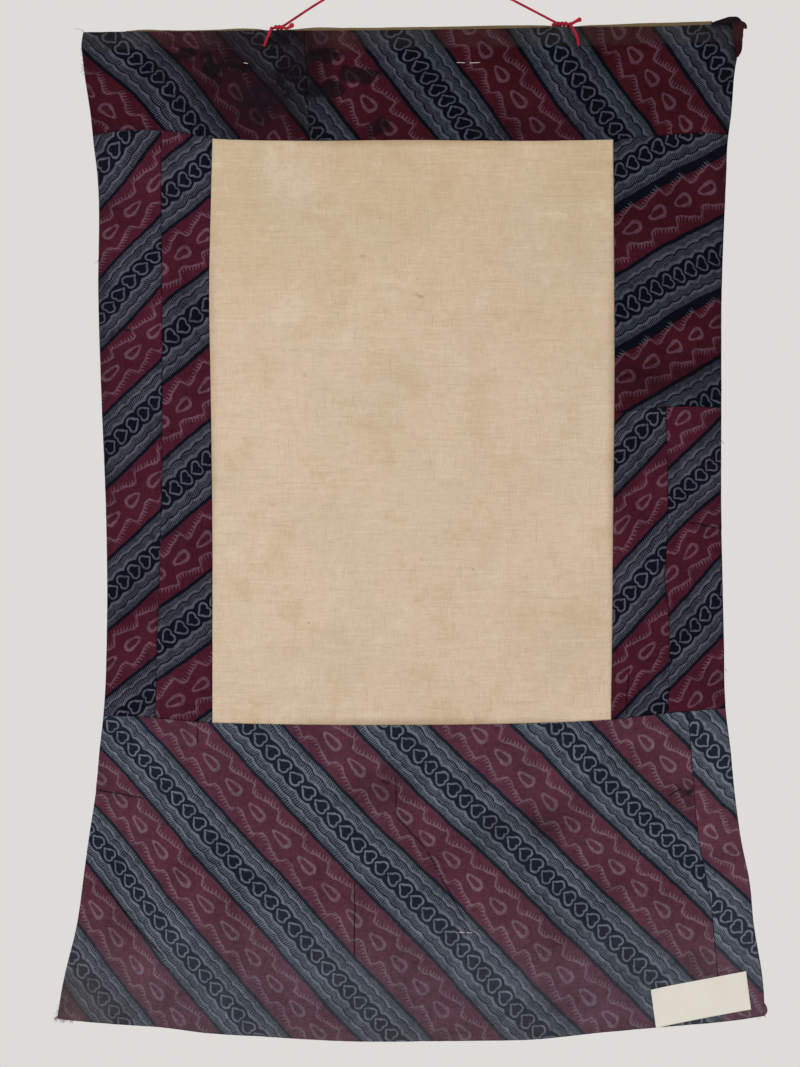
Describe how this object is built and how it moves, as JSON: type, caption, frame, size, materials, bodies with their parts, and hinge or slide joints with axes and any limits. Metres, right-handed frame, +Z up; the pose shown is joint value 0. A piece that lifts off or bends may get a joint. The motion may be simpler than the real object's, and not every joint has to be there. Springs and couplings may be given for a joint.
{
  "type": "thangka, a cloth picture mount seen from its back, with its hanging cord",
  "caption": "Cloth hanging scroll shown from the back: bare canvas in a pieced printed cotton mount that flares at the foot, hung by a red cord.",
  "frame": {"origin": "the peak of the hanging cord, where a nail or hook holds it", "axes": "+Z up; +X to the right as the back of the cloth is seen; the back, which shows, faces -Y and the picture's side faces +Y"},
  "size_m": [0.5867, 0.0148, 0.9111],
  "materials": {
    "printed_cotton": "matt plain-weave cotton, printed in maroon, navy and grey-blue",
    "canvas": "matt, bare, lightly stained",
    "heading_cloth": "matt olive-brown cloth",
    "red_cord": "smooth braided cord",
    "paper": "matt, blank"
  },
  "bodies": {
    "root": {"canvas": "canvas", "top_left_panel": "printed_cotton", "top_right_panel": "printed_cotton", "left_outer_strip": "printed_cotton", "left_inner_strip": "printed_cotton", "right_upper_panel": "printed_cotton", "right_inner_strip": "printed_cotton", "right_outer_strip": "printed_cotton", "bottom_panel": "printed_cotton", "gore_strip": "printed_cotton", "corner_bunch": "printed_cotton", "heading_band": "heading_cloth", "hanging_cord": "red_cord", "left_loop": "red_cord", "right_loop": "red_cord", "left_knot": "red_cord", "right_knot": "red_cord", "label": "paper"}
  },
  "joints": []
}
